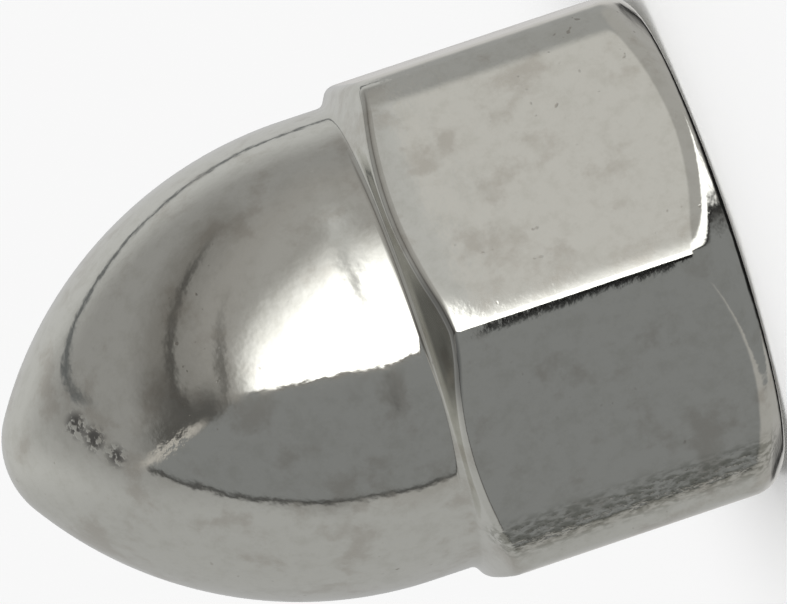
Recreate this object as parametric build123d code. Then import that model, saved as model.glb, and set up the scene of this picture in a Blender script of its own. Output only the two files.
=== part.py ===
from build123d import *
import math
import os

# Crowned cap nut: one piece of plated steel, threaded from its open end.
# It stands on its bearing face. The origin is the centre of that face, and +Z runs up the
# thread's axis to the tip of the crown. Sizes are in millimetres and degrees.

# overall
across_flats = 12.7
overall_length = 18.2
hex_height = 8.0

# crown: a short straight land, then a long body arc that runs into a small nose arc
shoulder = 0.4
land_length = 1.1
nose_radius = 2.2
root_fillet = 0.12
crown_radius = across_flats / 2 - shoulder

# hexagon: its long edges, the chamfer at each end, and the edges of the chamfers
corner_fillet = 0.8
crown_chamfer_angle = 30.0
bearing_margin = 0.45
bearing_chamfer_angle = 38.0
chamfer_edge_fillet = 0.3
bearing_rim_fillet = 0.25
bearing_radius = across_flats / 2 - bearing_margin

# hole: a 5/16-18 coarse thread, bored here to the size that is tapped, and stopping below the tip
thread_diameter = 7.938
thread_pitch = 1.411
mouth_clearance = 0.18
mouth_cone_angle = 90.0
drill_point_angle = 118.0
tip_wall = 3.0
wall_radius = (thread_diameter - thread_pitch) / 2
mouth_radius = thread_diameter / 2 + mouth_clearance


def turned(*outline):
    """A solid of revolution about Z from an outline of lines or arcs in radius and height."""
    return revolve(Plane.XZ * make_face(outline), Axis.Z)


def chamfer_cone(face_radius, face_height, angle, up):
    """Everything within a chamfer that leaves the edge of an end face at this angle.

    up is 1 where the hexagon lies above the end face, and -1 where it lies below.
    """
    reach = across_flats
    slope_end = face_height + up * (reach - face_radius) * math.tan(math.radians(angle))
    far_end = face_height + up * 2 * (hex_height + across_flats)
    return turned(
        Polyline(
            (0, face_height), (face_radius, face_height), (reach, slope_end),
            (reach, far_end), (0, far_end), close=True,
        )
    )


def hexagon():
    """The hexagonal bar, its long edges eased, with a chamfer turned on each end."""
    outline = RegularPolygon(across_flats / 2, 6, major_radius=False, rotation=30)
    bar = extrude(fillet(outline.vertices(), corner_fillet), hex_height)
    bar &= chamfer_cone(crown_radius, hex_height, crown_chamfer_angle, up=-1)
    bar &= chamfer_cone(bearing_radius, 0, bearing_chamfer_angle, up=1)
    chamfer_edges = bar.edges().filter_by(GeomType.HYPERBOLA) + bar.edges().filter_by(GeomType.BSPLINE)
    return fillet(chamfer_edges, chamfer_edge_fillet)


def crown():
    """The crown. Its body arc leaves the land upright and its nose arc meets the axis square."""
    land_top = hex_height + land_length
    nose_rise = overall_length - nose_radius - land_top
    body_radius = (crown_radius**2 + nose_rise**2 - nose_radius**2) / (2 * (crown_radius - nose_radius))
    body_turn = math.degrees(math.atan2(nose_rise, body_radius - crown_radius))
    land = Polyline((0, hex_height), (crown_radius, hex_height), (crown_radius, land_top))
    body = JernArc(land @ 1, (0, 1), body_radius, body_turn)
    nose = JernArc(body @ 1, body % 1, nose_radius, 90 - body_turn)
    axis = Line(nose @ 1, (0, hex_height))
    return turned(land, body, nose, axis)


def hole():
    """The blind hole: a countersunk mouth, the thread's wall, and the drill's point."""
    mouth_depth = (mouth_radius - wall_radius) / math.tan(math.radians(mouth_cone_angle / 2))
    point_end = overall_length - tip_wall
    wall_end = point_end - wall_radius / math.tan(math.radians(drill_point_angle / 2))
    return turned(
        Polyline(
            (0, 0), (mouth_radius, 0), (wall_radius, mouth_depth), (wall_radius, wall_end),
            (0, point_end), close=True,
        )
    )


def circle_at(solid, radius, height):
    """The circular edge of this radius about the axis, at this height."""
    circles = solid.edges().filter_by(GeomType.CIRCLE)
    level = circles.filter_by_position(Axis.Z, height - 0.001, height + 0.001)
    return [edge for edge in level if math.isclose(edge.radius, radius, abs_tol=0.001)]


def cap_nut():
    nut = hexagon() + crown()
    nut = fillet(circle_at(nut, crown_radius, hex_height), root_fillet)
    nut = fillet(circle_at(nut, bearing_radius, 0), bearing_rim_fillet)
    return nut - hole()


os.makedirs("parts", exist_ok=True)
export_step(cap_nut(), "parts/cap_nut.step")
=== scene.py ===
"""A crowned cap nut in bright plating, standing on its bearing face.

Its whole surface, from the tip of the crown to the end of the threaded hole, is one section
turned about the axis, with the hexagon and the thread worked into it column by column.
Lengths are in metres.
"""

import bmesh
import bpy
import math
from mathutils import Euler, Matrix, Vector


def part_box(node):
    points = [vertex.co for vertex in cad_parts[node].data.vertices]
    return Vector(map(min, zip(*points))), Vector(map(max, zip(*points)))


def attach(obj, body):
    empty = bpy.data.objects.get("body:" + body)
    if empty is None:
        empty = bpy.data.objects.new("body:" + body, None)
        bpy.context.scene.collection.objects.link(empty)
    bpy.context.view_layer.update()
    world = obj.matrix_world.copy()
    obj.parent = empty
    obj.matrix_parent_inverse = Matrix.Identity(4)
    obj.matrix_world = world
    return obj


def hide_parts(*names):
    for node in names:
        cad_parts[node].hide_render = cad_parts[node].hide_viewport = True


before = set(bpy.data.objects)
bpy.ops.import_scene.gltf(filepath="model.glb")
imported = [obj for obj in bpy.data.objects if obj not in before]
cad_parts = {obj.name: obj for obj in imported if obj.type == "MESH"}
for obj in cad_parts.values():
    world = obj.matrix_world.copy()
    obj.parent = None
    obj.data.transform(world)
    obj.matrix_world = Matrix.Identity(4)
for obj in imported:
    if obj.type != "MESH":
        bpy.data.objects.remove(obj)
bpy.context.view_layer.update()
MM = 0.001

# ---------------------------------------------------------------- sizes
low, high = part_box("cap_nut")
across_flats = high.x - low.x
overall_length = high.z - low.z
apothem = across_flats / 2

# crown
hex_height = 8.0 * MM
crown_radius = apothem - 0.4 * MM
land_length = 1.1 * MM
nose_radius = 2.2 * MM
root_fillet = 0.26 * MM

# hexagon: the arcs of one side, then the chamfers and the fillets of their edges
flat_half_width = 2.6 * MM
flat_arc = 140 * MM
edge_arc = 2.6 * MM
corner_arc = 0.6 * MM
crown_chamfer = math.radians(30)
crown_edge_fillet = 0.32 * MM
bearing_chamfer = math.radians(38)
bearing_edge_fillet = 0.6 * MM
bearing_corner_extra = 0.3 * MM
bearing_radius = apothem - 0.45 * MM
bearing_rim_fillet = 0.75 * MM

# hole
thread_radius = 3.969 * MM
thread_pitch = 1.411 * MM
full_thread = 10.2 * MM
bore_radius = thread_radius - thread_pitch / 2
mouth_radius = thread_radius + 0.18 * MM
tip_wall = 3.0 * MM
drill_point = math.radians(118)

# thread form, as shares of its depth: how far the flanks would rise if nothing cut them off at
# the full depth, and how much of that rise the flat at their foot takes away
flank_rise = 1.25
foot_flat = 0.12

# mesh: columns lie closest at the hexagon's corners, and the thread has about ten rows to 1 mm
sectors = 6
half_columns = 24
columns = sectors * 2 * half_columns
thread_rows = 104


# ---------------------------------------------------------------- the section
def arc(centre, radius, start, end, steps):
    """Points of an arc in (radius, height), angles in radians, both ends included."""
    angles = [start + (end - start) * step / steps for step in range(steps + 1)]
    return [centre + radius * Vector((math.cos(a), math.sin(a))) for a in angles]


def straight(start, end, steps):
    """Points along a line, leaving out its two ends."""
    return [start.lerp(end, step / steps) for step in range(1, steps)]


def rounded(before, corner, after, radius, steps):
    """The arc that eases a corner between two straight lines."""
    into = (before - corner).normalized()
    out = (after - corner).normalized()
    half = into.angle(out) / 2
    centre = corner + (into + out).normalized() * radius / math.sin(half)
    first = corner + into * radius / math.tan(half) - centre
    last = corner + out * radius / math.tan(half) - centre
    start = math.atan2(first.y, first.x)
    turn = math.remainder(math.atan2(last.y, last.x) - start, math.tau)
    return arc(centre, radius, start, start + turn, steps)


def crown_outline():
    """From the tip down to the foot of the land."""
    land_top = hex_height + land_length
    nose_centre = Vector((0, overall_length - nose_radius))
    rise = nose_centre.y - land_top
    body_radius = (crown_radius**2 + rise**2 - nose_radius**2) / (2 * (crown_radius - nose_radius))
    body_centre = Vector((crown_radius - body_radius, land_top))
    joint = math.atan2(rise, body_radius - crown_radius)
    nose = arc(nose_centre, nose_radius, math.pi / 2, joint, 16)
    body = arc(body_centre, body_radius, joint, 0, 44)
    return nose + body[1:]


def half_side():
    """Half a side of the hexagon as (radius, angle from the corner), from its corner to its middle.

    Polishing has eased it: a small arc turns the corner, a larger one eases the flat's edge, and
    the flat itself is very slightly crowned. Each arc touches the next.
    """
    flat_centre = Vector((-math.cos(math.pi / 6), -math.sin(math.pi / 6))) * (flat_arc - apothem)
    flat_end = math.pi / 6 - math.asin(flat_half_width / flat_arc)
    edge_centre = flat_centre + Vector((math.cos(flat_end), math.sin(flat_end))) * (flat_arc - edge_arc)
    edge_end = math.asin(-edge_centre.y / (edge_arc - corner_arc))
    corner_centre = Vector((edge_centre.x + math.cos(edge_end) * (edge_arc - corner_arc), 0))
    outline = arc(corner_centre, corner_arc, 0, edge_end, 9)
    outline += arc(edge_centre, edge_arc, edge_end, flat_end, 7)[1:]
    outline += arc(flat_centre, flat_arc, flat_end, math.pi / 6, 8)[1:]
    return [(point.length, math.atan2(point.y, point.x)) for point in outline]


def hexagon_outline(side):
    """From the foot of the crown down to the mouth of the hole, for a column this far out."""
    cornerness = (side - apothem) / (apothem / math.cos(math.pi / 6) - apothem)
    land_foot = Vector((crown_radius, hex_height + root_fillet * 3))
    root = Vector((crown_radius, hex_height))
    upper = Vector((side, hex_height - (side - crown_radius) * math.tan(crown_chamfer)))
    lower = Vector((side, (side - bearing_radius) * math.tan(bearing_chamfer)))
    rim = Vector((bearing_radius, 0))
    mouth = Vector((mouth_radius, 0))
    upper_arc = rounded(root, upper, lower, crown_edge_fillet, 12)
    lower_fillet = bearing_edge_fillet + bearing_corner_extra * cornerness
    lower_arc = rounded(upper, lower, rim, lower_fillet, 14)
    rim_arc = rounded(lower, rim, mouth, bearing_rim_fillet, 6)
    root_arc = rounded(land_foot, root, upper, root_fillet, 4)
    return (
        root_arc + straight(root_arc[-1], upper_arc[0], 4)
        + upper_arc + straight(upper_arc[-1], lower_arc[0], 8)
        + lower_arc + straight(lower_arc[-1], rim_arc[0], 4)
        + rim_arc + straight(rim_arc[-1], mouth, 5)
    )


def hole_radius(height, angle):
    """Radius of the hole's wall: the tapped thread, cut back by the countersink."""
    phase = (height / thread_pitch - angle / math.tau) % 1
    flank = min(1, max(0, flank_rise * (1 - abs(2 * phase - 1)) - foot_flat))
    runout = min(1, max(0, (full_thread - height) / thread_pitch))
    wall = bore_radius + (thread_radius - bore_radius) * flank * runout
    return max(wall, mouth_radius - height)


def hole_outline(angle):
    """From the mouth up to the drill's point, for one column."""
    wall_end = overall_length - tip_wall - bore_radius / math.tan(drill_point / 2)
    heights = [full_thread * row / thread_rows for row in range(thread_rows + 1)]
    wall = [Vector((hole_radius(height, angle), height)) for height in heights]
    end = Vector((bore_radius, wall_end))
    point = Vector((0, overall_length - tip_wall))
    return wall + straight(wall[-1], end, 4) + [end] + straight(end, point, 6) + [point]


def section(side, angle):
    """The whole section of one column, from the tip to the hole's far end."""
    return crown_outline() + hexagon_outline(side) + hole_outline(angle)


# ---------------------------------------------------------------- the nut's mesh
def cap_nut_mesh():
    """Spin a plain section, then move each column's points to that column's own section."""
    bm = bmesh.new()
    row_layer = bm.verts.layers.int.new("row")
    half = half_side()
    plain = section(apothem, 0)
    last_row = len(plain) - 1
    outline = []
    for row, point in enumerate(plain):
        vertex = bm.verts.new((max(point.x, 0), 0, point.y))
        vertex[row_layer] = row
        outline.append(vertex)
    for start, end in zip(outline, outline[1:]):
        bm.edges.new((start, end))
    bmesh.ops.spin(
        bm, geom=bm.verts[:] + bm.edges[:], cent=(0, 0, 0), axis=(0, 0, 1),
        angle=math.tau, steps=columns, use_merge=True,
    )
    poles = [v for v in bm.verts if v[row_layer] in (0, last_row)]
    bmesh.ops.remove_doubles(bm, verts=poles, dist=1e-7)
    sections = {}
    for vertex in bm.verts:
        row = vertex[row_layer]
        if row in (0, last_row):
            continue
        column = round(math.atan2(vertex.co.y, vertex.co.x) / math.tau * columns) % columns
        if column not in sections:
            sector, step = divmod(column, 2 * half_columns)
            side, turn = half[abs(step - half_columns)]
            angle = (sector + 0.5) * math.pi / 3 + math.copysign(turn, step - half_columns)
            sections[column] = angle, section(side, angle)
        angle, points = sections[column]
        radius, height = points[row]
        vertex.co = radius * math.cos(angle), radius * math.sin(angle), height
    bmesh.ops.recalc_face_normals(bm, faces=bm.faces[:])
    mesh = bpy.data.meshes.new("cap_nut")
    for face in bm.faces:
        face.smooth = True
    bm.to_mesh(mesh)
    bm.free()
    return mesh


# ---------------------------------------------------------------- shader arithmetic
class Signal:
    """One output in a node tree, which can stand in sums, products and differences."""

    def __init__(self, tree, socket=None):
        self.tree = tree
        self.socket = socket

    def make(self, kind, settings=None, sockets=None, output=0):
        """Add a node: its settings first, then the values or links of its sockets."""
        node = self.tree.nodes.new(kind)
        for name, value in (settings or {}).items():
            setattr(node, name, value)
        for key, value in (sockets or {}).items():
            if isinstance(value, Signal):
                self.tree.links.new(value.socket, node.inputs[key])
            else:
                node.inputs[key].default_value = value
        return None if output is None else Signal(self.tree, node.outputs[output])

    def calculate(self, operation, *values):
        return self.make("ShaderNodeMath", {"operation": operation}, dict(enumerate(values)))

    def __add__(self, other):
        return self.calculate("ADD", self, other)

    def __sub__(self, other):
        return self.calculate("SUBTRACT", self, other)

    def __rsub__(self, other):
        return self.calculate("SUBTRACT", other, self)

    def __mul__(self, other):
        return self.calculate("MULTIPLY", self, other)

    __radd__ = __add__
    __rmul__ = __mul__

    def vector(self, operation, other=None, output=0):
        """Vector arithmetic. Output 0 is a vector, and output 1 is a number."""
        sockets = {0: self} if other is None else {0: self, 1: other}
        return self.make("ShaderNodeVectorMath", {"operation": operation}, sockets, output)

    def ramp(self, start, end, at_start=0.0, at_end=1.0):
        """A smooth step from one value to another as this signal goes from start to end."""
        return self.make(
            "ShaderNodeMapRange", {"interpolation_type": "SMOOTHSTEP"},
            {"Value": self, "From Min": start, "From Max": end, "To Min": at_start, "To Max": at_end},
        )

    def near(self, point, inner, outer):
        """1 where this position is within the inner distance of a point, 0 past the outer one."""
        distance = self.vector("SUBTRACT", point).vector("LENGTH", output=1)
        return distance.ramp(inner, outer, 1.0, 0.0)

    def mix(self, under, over):
        """This signal, from 0 to 1, as the share of the second colour over the first."""
        return self.make(
            "ShaderNodeMix", {"data_type": "RGBA"}, {0: self, 6: under, 7: over}, output=2
        )

    def noise(self, scale, detail=2.0, roughness=0.5):
        """Noise at this signal's coordinates, with so many features to the metre."""
        return self.make(
            "ShaderNodeTexNoise", None,
            {"Vector": self, "Scale": scale, "Detail": detail, "Roughness": roughness},
        )


def grey(level, warmth=0.0):
    """A grey, redder above zero and bluer below it."""
    return level * (1 + warmth), level, level * (1 - warmth), 1.0


# ---------------------------------------------------------------- light tent
view_azimuth = math.radians(2.5)
front = Vector((math.sin(view_azimuth), -math.cos(view_azimuth), 0))
side = Vector((-math.cos(view_azimuth), -math.sin(view_azimuth), 0))
up = Vector((0, 0, 1))

# the normals of the panels' edges, along front, side and up. The dark panel hangs towards side,
# and the softbox away from it.
above = (0, 0, 1)
below = (0, 0, -1)
dark_side = (0, 1, 0)
lit_side = (0, -1, 0)
roof_start = (1.69, -1, 0.21)
roof_fold = (1, -0.228, -0.822)
roof_edge = (1, 0, -1.23)
softbox_edge = (0.166, -1, -0.19)
softbox_side = (1, 0.954, -1.013)
dark_back = (1, -0.285, -0.2)
dark_top = (0.28, 1, -0.5)
rear_rail = (0.86, -1, -0.4)
sheet_side = (-0.3, -1, 0)


class Tent:
    """The inside of the tent, painted panel over panel. A panel's edge is straight, so it lies
    in a plane through the nut, whose normal is given along the front, side and up directions."""

    def __init__(self, tree, colour):
        self.nodes = Signal(tree)
        place = self.nodes.make("ShaderNodeTexCoord", output=3)
        self.direction = place.vector("NORMALIZE")
        self.colour = colour

    def beyond(self, normal, soft, offset=0.0):
        """1 on the side of an edge that its normal points to, fading over so many degrees."""
        normal = (front * normal[0] + side * normal[1] + up * normal[2]).normalized()
        height = self.direction.vector("DOT_PRODUCT", normal, output=1)
        return height.ramp(math.sin(math.radians(offset - soft)), math.sin(math.radians(offset + soft)))

    def seam(self, normal, width, offset=0.0):
        """A thin line along an edge, so many degrees wide."""
        soft = width / 2
        return self.beyond(normal, soft, offset - soft) * (1 - self.beyond(normal, soft, offset + soft))

    def paint(self, share, colour):
        """Lay a colour over what is there, where the share is 1."""
        self.colour = share.mix(self.colour, colour)


def paint_roof(tent):
    """It is light behind the tip. The roof is darker up to its fold, and paler past it."""
    high_up = tent.beyond(above, 6, 14)
    overhead = tent.beyond(above, 8, 30)
    behind = tent.beyond((-1, -0.3, 0.6), 20, 12) * tent.beyond((0, -1, 0.35), 20)
    before_fold = tent.beyond(roof_fold, 9, -8) * tent.beyond((0, 1, 0.35), 14) * overhead
    fold_seam = tent.seam(roof_fold, 2.4) * tent.beyond((0, 1, 2.4), 10) * high_up
    edge_seam = tent.seam(roof_edge, 2) * tent.beyond((0, 1, 1.1), 14) * high_up
    tent.paint(behind, grey(0.57))
    tent.paint(tent.beyond(roof_start, 14), grey(0.32, 0.01))
    tent.paint(tent.beyond(roof_fold, 7, -9) * high_up, grey(0.21, 0.04))
    tent.paint(before_fold, grey(0.10, 0.03))
    tent.paint(tent.beyond(roof_fold, 1) * high_up, grey(0.25, 0.03))
    tent.paint(tent.beyond(roof_fold, 8, 8), grey(0.34, 0.03))
    tent.paint(fold_seam, grey(0.08, 0.04))
    tent.paint(tent.beyond(roof_edge, 5, 5), grey(0.38, 0.02))
    tent.paint(edge_seam, grey(0.14, 0.04))


def paint_dark_corner(tent):
    """Where the roof comes down to the dark panel."""
    panel_side = tent.beyond(dark_top, 7, -12) * tent.beyond(dark_back, 2, 2)
    roof_side = tent.beyond(roof_fold, 8, -17) * (1 - tent.beyond(roof_fold, 4, 9))
    tent.paint(panel_side * roof_side, grey(0.10, 0.03))


def paint_softbox(tent):
    """The bright panel in front, which spreads wider below the horizon."""
    past_edge = tent.beyond(softbox_edge, 0.6)
    tent.paint(tent.beyond(softbox_side, 19, 8) * tent.beyond(roof_edge, 6, 7) * past_edge, grey(2.6))
    tent.paint(tent.beyond(softbox_side, 6, 10) * tent.beyond(below, 2, -1) * past_edge, grey(2.6))


def paint_dark_panel(tent):
    """The dark panel beside the softbox, with a pale streak over it and dark seams on two edges."""
    streak = tent.seam(dark_top, 3.2, -1.6) * tent.beyond(dark_back, 4)
    panel = tent.beyond(dark_back, 1) * tent.beyond(dark_top, 1.5)
    tent.paint(streak * (1 - tent.beyond(roof_fold, 4)), grey(0.52, 0.05))
    tent.paint(panel * (1 - tent.beyond(softbox_edge, 0.6)), grey(0.25, -0.02))
    tent.paint(tent.seam(dark_back, 2) * tent.beyond(dark_top, 2), grey(0.05, 0.03))
    tent.paint(tent.seam(softbox_edge, 1.2, -0.6) * tent.beyond(roof_edge, 3, 8), grey(0.10, 0.2))


def paint_rail(tent):
    """The dark rail at the back of the tent."""
    tent.paint(tent.seam(rear_rail, 2.2) * tent.beyond((-1, -1, -0.2), 8), grey(0.12, -0.05))


def paint_sheet(tent):
    """The pale sheet under the nut, which rises towards the softbox."""
    rising = tent.beyond(below, 2.5, 1.5) * tent.beyond((1, 0.34, 0), 6) * tent.beyond(sheet_side, 18)
    under_horizon = tent.beyond(below, 0.2, 4.05)
    tent.paint(rising, grey(0.55))
    behind = tent.beyond((-1, -0.38, 0), 6) * tent.beyond((1, -1.73, 0), 6)
    tent.paint(under_horizon * tent.beyond(sheet_side, 18), grey(0.60, 0.02))
    tent.paint(under_horizon * behind, grey(0.37))
    tent.paint(tent.beyond(below, 6, 20), grey(0.42, 0.02))


def paint_shade(tent):
    """The nut's own shade on the sheet, with a gleam and a black line in it."""
    shade = tent.beyond((1, -1.117, -1.1), 1.5) * tent.beyond(below, 4, 12)
    gleam = tent.beyond(lit_side, 2, 4) * tent.beyond(dark_side, 3, -18) * tent.beyond((1, 0, -0.45), 3)
    tent.paint(shade * tent.beyond(dark_side, 2, -2), grey(0.25, -0.02))
    tent.paint(shade * gleam, grey(1.8))
    tent.paint(shade * tent.seam(dark_side, 4, -3), grey(0.02))


def paint_openings(tent):
    """A dark slot low behind, and a dark gap in front, a little under the horizon by the softbox."""
    slot = tent.beyond((-1, 0, 0.6), 4) * tent.beyond((-0.28, 1, 0), 4) * tent.beyond((-0.28, -1, 0), 4)
    gap = tent.beyond((-0.077, 0, -1), 0.15) * tent.beyond((-0.17, 1, 0), 1)
    tent.paint(slot * tent.beyond(below, 2, 18), grey(0.01))
    tent.paint(gap * tent.beyond((0.916, -1, 3.08), 1), grey(0.01))


def tent_material():
    material = bpy.data.materials.new("light_tent")
    material.use_nodes = True
    tree = material.node_tree
    tree.nodes.clear()
    tent = Tent(tree, grey(0.44))
    paint_roof(tent)
    paint_dark_corner(tent)
    paint_softbox(tent)
    paint_dark_panel(tent)
    paint_rail(tent)
    paint_sheet(tent)
    paint_shade(tent)
    paint_openings(tent)
    light = tent.nodes.make("ShaderNodeEmission", None, {"Color": tent.colour, "Strength": 1.0})
    tent.nodes.make("ShaderNodeOutputMaterial", None, {"Surface": light}, output=None)
    return material


# ---------------------------------------------------------------- plating
bright = (0.77, 0.767, 0.71, 1)
cloudy = (0.70, 0.695, 0.635, 1)
smudged = (0.64, 0.62, 0.56, 1)
# the grey of the painted shade on the shoulder, which stands in for a dark reflection
shoulder_shade_grey = (0.36, 0.36, 0.34, 1)
tip_spot_grey = (0.20, 0.195, 0.185, 1)
pitted = (0.52, 0.50, 0.45, 1)
scratched = (0.42, 0.42, 0.37, 1)

# places of the wear, of the dark spots near the tip and of the painted shade on the shoulder, in
# millimetres
shaded_shoulder_corner = Vector((-0.1, -6.4, 7.7))
scuffed_edge = Vector((-5.4, -4.2, 0))
tip_spot_places = (
    (Vector((0.6, -2.9, 16.4)), 0.12, 0.46),
    (Vector((0.15, -3.25, 16.1)), 0.10, 0.46),
    (Vector((-0.4, -3.55, 15.75)), 0.05, 0.42),
)
rubbed_spot = Vector((-0.5, -4.4, 14.4))


def painted_shoulder_shade(place, radius, height):
    """Painted shade on the shoulder's chamfer at one corner of the hexagon: the plating is darkened
    where it stands in for a dark reflection.
    """
    slope = math.tan(crown_chamfer)
    chamfer_line = hex_height + crown_radius * slope
    on_chamfer = (height + radius * slope).ramp(chamfer_line - 0.12 * MM, chamfer_line - 0.04 * MM)
    outside_root = radius.ramp(crown_radius + 0.2 * MM, crown_radius + 0.35 * MM)
    return on_chamfer * outside_root * place.near(shaded_shoulder_corner * MM, 0.9 * MM, 2.2 * MM)


def dark_tip_spots(place):
    """Small dark, sunken spots in a row near the tip."""
    share = 0
    for spot, inner, outer in tip_spot_places:
        share = share + place.near(spot * MM, inner * MM, outer * MM)
    return share * place.noise(6000, 2.0).ramp(0.40, 0.54)


def plating_material():
    """Bright plating: rippled by hand polishing, finely pitted, smudged, and worn in places, with
    painted shade on one shoulder.
    """
    material = bpy.data.materials.new("bright_plating")
    material.use_nodes = True
    tree = material.node_tree
    tree.nodes.clear()
    nodes = Signal(tree)
    place = nodes.make("ShaderNodeTexCoord", output=3)
    flat = place.vector("MULTIPLY", (1, 1, 0))
    radius = flat.vector("LENGTH", output=1)
    height = nodes.make("ShaderNodeSeparateXYZ", None, {0: place}, output=2)

    # all over
    ripple = place.noise(450, 1.0)
    dimples = place.noise(2300, 2.0)
    grain = place.noise(9000, 2.0)
    clouds = place.noise(1900, 4.0, 0.7).ramp(0.42, 0.72)
    smudge = place.noise(700, 5.0, 0.6).ramp(0.52, 0.68)
    pits = place.noise(4300, 1.0).ramp(0.72, 0.80) * place.noise(260, 2.0).ramp(0.50, 0.62)

    # in places: rough corners and rim, a scuffed edge, dark spots near the tip, a rubbed spot, and
    # painted shade on one shoulder
    on_crown = height.ramp(hex_height, hex_height + 0.3 * MM)
    crinkle = place.noise(5200, 2.0) * radius.ramp(6.8 * MM, 7.0 * MM)
    rim = place.noise(2600, 2.0) * height.ramp(0.5 * MM, 1.1 * MM, 1.0, 0.0)
    scratches = place.vector("MULTIPLY", (1, 1, 0.45)).noise(8500, 2.0)
    scuff = flat.near(scuffed_edge * MM, 0.25 * MM, 0.75 * MM)
    tip_spot_share = dark_tip_spots(place)
    rub = place.near(rubbed_spot * MM, 0.2 * MM, 0.9 * MM) * place.noise(5500, 2.0)

    # relief in metres
    relief = ripple * 1.4e-5 + dimples * (on_crown * 2.5e-6 + 2.0e-6) + grain * 4.0e-7 - pits * 2.0e-6
    relief = relief + crinkle * 2.0e-6 + rim * 7.0e-6 + scuff * scratches * 1.1e-5
    relief = relief + rub * 5.0e-6 - tip_spot_share * 9.0e-6
    normal = nodes.make("ShaderNodeBump", None, {"Strength": 1.0, "Distance": 1.0, "Height": relief})

    colour = (clouds * 0.9).mix(bright, cloudy)
    colour = smudge.mix(colour, smudged)
    # painted shade: the shoulder's chamfer darkened at one corner, in place of a dark reflection
    colour = painted_shoulder_shade(place, radius, height).mix(colour, shoulder_shade_grey)
    colour = tip_spot_share.mix(colour, tip_spot_grey)
    colour = pits.mix(colour, pitted)
    colour = (scuff * scratches.ramp(0.35, 0.65)).mix(colour, scratched)
    shader = nodes.make(
        "ShaderNodeBsdfPrincipled", None,
        {
            "Base Color": colour, "Metallic": 1.0, "Normal": normal,
            "Roughness": smudge * 0.05 + pits * 0.1 + 0.07,
        },
    )
    nodes.make("ShaderNodeOutputMaterial", None, {"Surface": shader}, output=None)
    return material


def cap_nut():
    """The nut's one visible piece, which stands for the solid."""
    nut = bpy.data.objects.new("cap_nut_plated", cap_nut_mesh())
    bpy.context.collection.objects.link(nut)
    nut.data.materials.append(plating_material())
    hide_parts("cap_nut")
    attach(nut, "root")


# ---------------------------------------------------------------- studio
def floor():
    """A pale floor that the metal doesn't mirror."""
    bm = bmesh.new()
    bmesh.ops.create_circle(bm, cap_ends=True, segments=96, radius=3)
    mesh = bpy.data.meshes.new("floor")
    bm.to_mesh(mesh)
    bm.free()
    material = bpy.data.materials.new("floor")
    material.use_nodes = True
    shader = material.node_tree.nodes["Principled BSDF"]
    shader.inputs["Base Color"].default_value = grey(0.95)
    shader.inputs["Roughness"].default_value = 1.0
    shader.inputs["Specular IOR Level"].default_value = 0.0
    mesh.materials.append(material)
    piece = bpy.data.objects.new("floor", mesh)
    piece.visible_glossy = False
    bpy.context.collection.objects.link(piece)


def tent():
    """The grey tent round the nut, seen only in the metal."""
    bm = bmesh.new()
    bmesh.ops.create_icosphere(bm, subdivisions=5, radius=0.5)
    mesh = bpy.data.meshes.new("light_tent")
    bm.to_mesh(mesh)
    bm.free()
    mesh.materials.append(tent_material())
    piece = bpy.data.objects.new("light_tent", mesh)
    piece.visible_camera = False
    piece.visible_diffuse = False
    piece.visible_shadow = False
    bpy.context.collection.objects.link(piece)


def lights():
    """White all round, and one wide soft lamp over the camera for the floor."""
    world = bpy.data.worlds.new("white_room")
    world.use_nodes = True
    world.node_tree.nodes["Background"].inputs["Color"].default_value = grey(1.0)
    world.node_tree.nodes["Background"].inputs["Strength"].default_value = 0.6
    bpy.context.scene.world = world
    lamp = bpy.data.lights.new("soft_lamp", "SUN")
    lamp.energy = 1.6
    lamp.angle = math.radians(40)
    lamp_tilt = math.radians(40)
    lamp_object = bpy.data.objects.new("soft_lamp", lamp)
    lamp_object.rotation_euler = Euler((lamp_tilt, 0, view_azimuth))
    lamp_object.visible_glossy = False
    bpy.context.collection.objects.link(lamp_object)


def camera():
    """Almost level, with the nut's axis lying across the frame and its tip to the lower left."""
    elevation = math.radians(4.95)
    roll = math.radians(-108.5)
    distance = 20.4 * across_flats
    nut_share = 0.65565  # the width across flats, as a share of the frame's width
    aim = up * 7.86 * MM - side * 0.85 * MM
    turn = Euler((math.pi / 2 - elevation, 0, view_azimuth)).to_matrix() @ Matrix.Rotation(roll, 3, "Z")
    data = bpy.data.cameras.new("camera")
    data.sensor_width = 36
    data.lens = data.sensor_width * nut_share * distance / across_flats
    data.clip_start = 0.01
    data.clip_end = 10
    piece = bpy.data.objects.new("camera", data)
    piece.matrix_world = Matrix.Translation(aim + turn @ Vector((0, 0, distance))) @ turn.to_4x4()
    bpy.context.collection.objects.link(piece)
    bpy.context.scene.camera = piece


cap_nut()
floor()
tent()
lights()
camera()
bpy.context.scene.view_settings.view_transform = "Standard"
